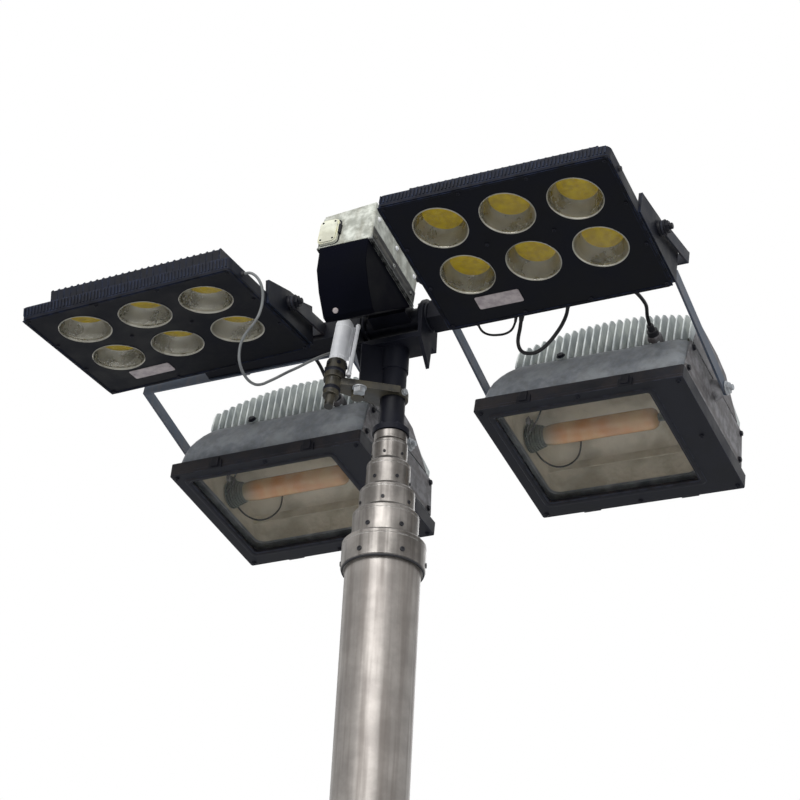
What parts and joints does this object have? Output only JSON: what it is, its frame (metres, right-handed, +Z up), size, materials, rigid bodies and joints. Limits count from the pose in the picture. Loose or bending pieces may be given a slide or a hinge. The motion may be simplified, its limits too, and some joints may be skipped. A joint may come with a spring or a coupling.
{
  "type": "mobile light tower mast head",
  "caption": "Telescopic floodlight mast, fully retracted, on a bolted base flange, with a power-tilted cross arm carrying LED floodlights above and metal-halide floodlights below.",
  "frame": {"origin": "centre of the bottom face of the base flange, on the mast axis", "axes": "+Z up along the mast; +X along the cross arm, to the right as seen facing the lamps' fronts; the lamps face -Y when the head is level"},
  "size_m": [1.3881, 0.9735, 3.1991],
  "materials": {
    "galvanised_steel": "satin",
    "mast_aluminium": "anodised",
    "collar_aluminium": "matte",
    "black_steel": "semi-gloss",
    "gearbox_casting": "satin",
    "bright_steel": "polished",
    "pale_shell": "matte",
    "black_cover": "matte",
    "stirrup_steel": "satin",
    "led_casting": "powder coat",
    "led_bezel": "powder coat",
    "lens_glass": "clear",
    "halide_frame": "satin",
    "halide_glass": "clear",
    "halide_casting": "cast",
    "reflector": "hammered",
    "bulb": "frosted",
    "lead_rubber": "matte",
    "grey_cable": "matte",
    "gland_plastic": "matte"
  },
  "bodies": {
    "mast_base": {"base_flange": "galvanised_steel", "base_tube": "mast_aluminium", "base_collar": "collar_aluminium"},
    "mast_stage_2": {"stage_2_tube": "mast_aluminium", "stage_2_collar": "collar_aluminium"},
    "mast_stage_3": {"stage_3_tube": "mast_aluminium", "stage_3_collar": "collar_aluminium"},
    "mast_stage_4": {"stage_4_tube": "mast_aluminium", "stage_4_collar": "collar_aluminium"},
    "mast_stage_5": {"stage_5_tube": "mast_aluminium", "stage_5_collar": "collar_aluminium"},
    "mast_top": {"stage_6_tube": "mast_aluminium", "stage_6_cap": "collar_aluminium", "neck_post": "black_steel", "tilt_fork": "black_steel", "tilt_gearbox": "gearbox_casting", "tilt_motor": "bright_steel", "motor_conduit": "bright_steel"},
    "head": {"cross_arm": "black_steel", "head_box": "pale_shell", "box_cover": "black_cover", "led_stirrup_left": "stirrup_steel", "led_stirrup_right": "stirrup_steel", "halide_stirrup_left": "stirrup_steel", "halide_stirrup_right": "stirrup_steel", "loop_lead": "lead_rubber", "thin_lead": "lead_rubber", "halide_lead_left": "lead_rubber", "halide_lead_right": "lead_rubber", "grey_lead": "grey_cable"},
    "led_lamp_left": {"led_body_left": "led_casting", "led_bezel_left": "led_bezel", "led_lenses_left": "lens_glass"},
    "led_lamp_right": {"led_body_right": "led_casting", "led_bezel_right": "led_bezel", "led_lenses_right": "lens_glass"},
    "halide_lamp_left": {"halide_frame_left": "halide_frame", "halide_glass_left": "halide_glass", "halide_housing_left": "halide_casting", "halide_reflector_left": "reflector", "halide_bulb_left": "bulb", "halide_gland_left": "gland_plastic"},
    "halide_lamp_right": {"halide_frame_right": "halide_frame", "halide_glass_right": "halide_glass", "halide_housing_right": "halide_casting", "halide_reflector_right": "reflector", "halide_bulb_right": "bulb", "halide_gland_right": "gland_plastic"}
  },
  "joints": [
    {"name": "mast_raise", "type": "slide", "parent": "mast_base", "child": "mast_stage_2", "axis": [0, 0, 1], "range_m": [0, 1.9]},
    {"name": "mast_raise_3", "type": "slide", "parent": "mast_stage_2", "child": "mast_stage_3", "axis": [0, 0, 1], "range_m": [0, 1.9]},
    {"name": "mast_raise_4", "type": "slide", "parent": "mast_stage_3", "child": "mast_stage_4", "axis": [0, 0, 1], "range_m": [0, 1.9]},
    {"name": "mast_raise_5", "type": "slide", "parent": "mast_stage_4", "child": "mast_stage_5", "axis": [0, 0, 1], "range_m": [0, 1.9]},
    {"name": "mast_raise_6", "type": "slide", "parent": "mast_stage_5", "child": "mast_top", "axis": [0, 0, 1], "range_m": [0, 1.9]},
    {"name": "head_tilt", "type": "hinge", "parent": "mast_top", "child": "head", "pos_m": [0, 0, 3.051], "axis": [1, 0, 0], "range_deg": [-90, 10]},
    {"name": "led_tilt_left", "type": "hinge", "parent": "head", "child": "led_lamp_left", "pos_m": [-0.424, -0.16995, 3.03411], "axis": [0.9993, 0.0074, 0.0359], "range_deg": [-45, 2.5]},
    {"name": "led_tilt_right", "type": "hinge", "parent": "head", "child": "led_lamp_right", "pos_m": [0.408, -0.16995, 3.03411], "axis": [1, 0, 0], "range_deg": [-30, 17.5]},
    {"name": "halide_tilt_left", "type": "hinge", "parent": "head", "child": "halide_lamp_left", "pos_m": [-0.38, 0.33154, 2.95068], "axis": [1, 0, 0], "range_deg": [-30, 20]},
    {"name": "halide_tilt_right", "type": "hinge", "parent": "head", "child": "halide_lamp_right", "pos_m": [0.368, 0.33154, 2.95068], "axis": [0.9997, -0.0046, -0.0222], "range_deg": [-27, 23]}
  ],
  "couplings": [
    {"joint": "mast_raise_3", "follows": "mast_raise", "ratio": 1},
    {"joint": "mast_raise_4", "follows": "mast_raise", "ratio": 1},
    {"joint": "mast_raise_5", "follows": "mast_raise", "ratio": 1},
    {"joint": "mast_raise_6", "follows": "mast_raise", "ratio": 1}
  ]
}
